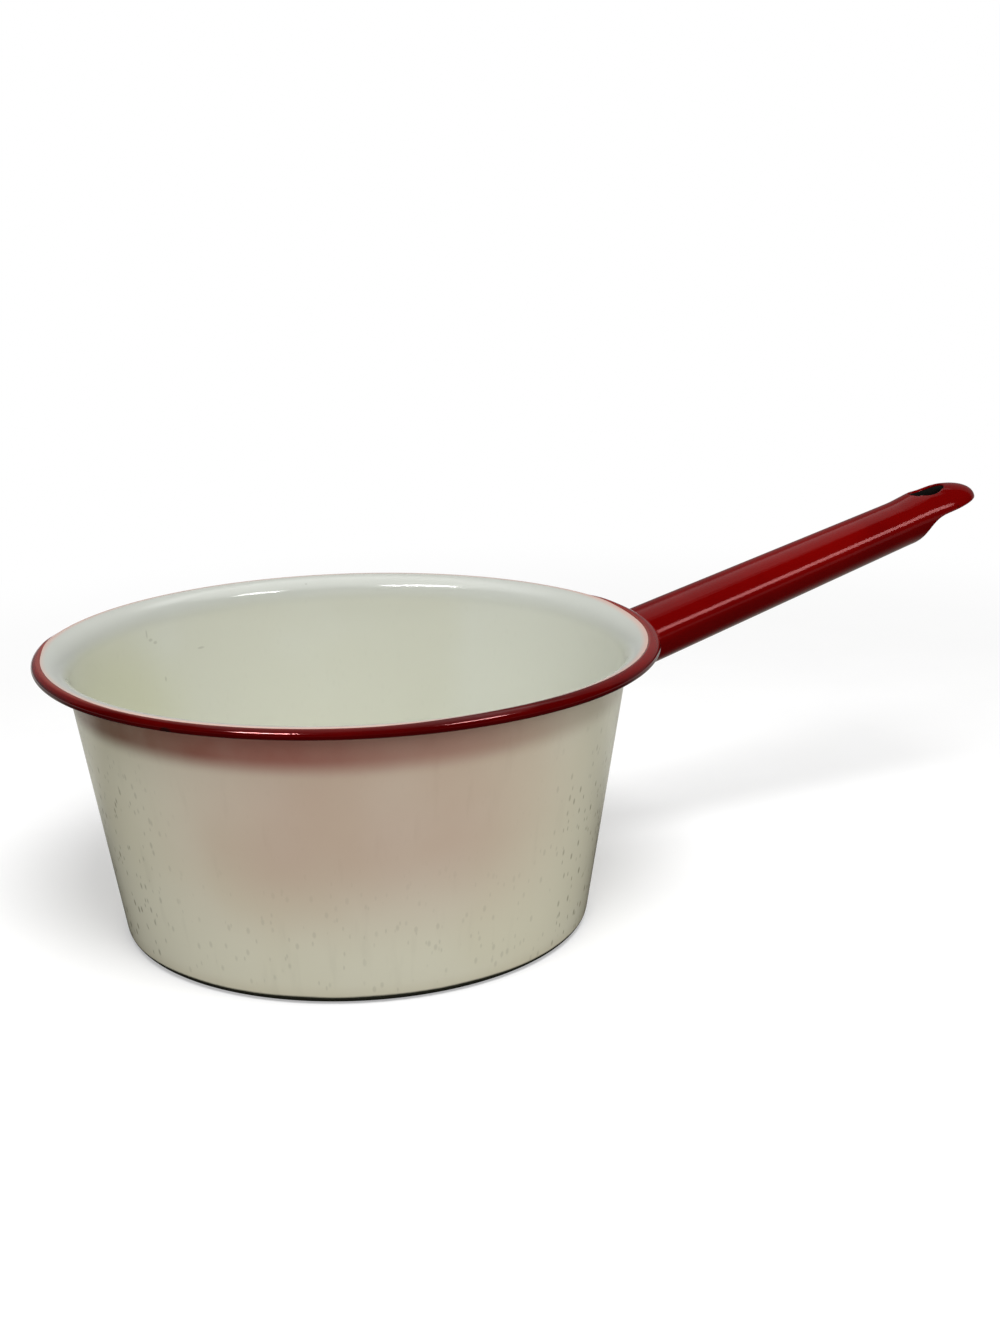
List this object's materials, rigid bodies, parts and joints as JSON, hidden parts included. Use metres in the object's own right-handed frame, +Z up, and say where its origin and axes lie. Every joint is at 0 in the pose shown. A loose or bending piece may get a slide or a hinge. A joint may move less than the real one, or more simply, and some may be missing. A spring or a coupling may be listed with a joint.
{
  "type": "enamel saucepan",
  "caption": "Cream enamelled steel saucepan with tapered wall, flared red rolled rim and a rising red tubular handle that ends in an open tongue with a hanging hole.",
  "frame": {"origin": "on the pan's axis, in the plane of the base that stands on the hob", "axes": "+X along the handle as seen from above, +Z up through the mouth, +Y completes the frame"},
  "size_m": [0.374, 0.2174, 0.1331],
  "materials": {
    "cream_enamel": "glossy cream vitreous enamel on steel",
    "red_enamel": "glossy dark red vitreous enamel",
    "handle_enamel": "glossy dark red vitreous enamel on steel"
  },
  "bodies": {
    "root": {"pan_body": "cream_enamel", "rim_band": "red_enamel", "handle": "handle_enamel", "handle_weld": "handle_enamel"}
  },
  "joints": []
}
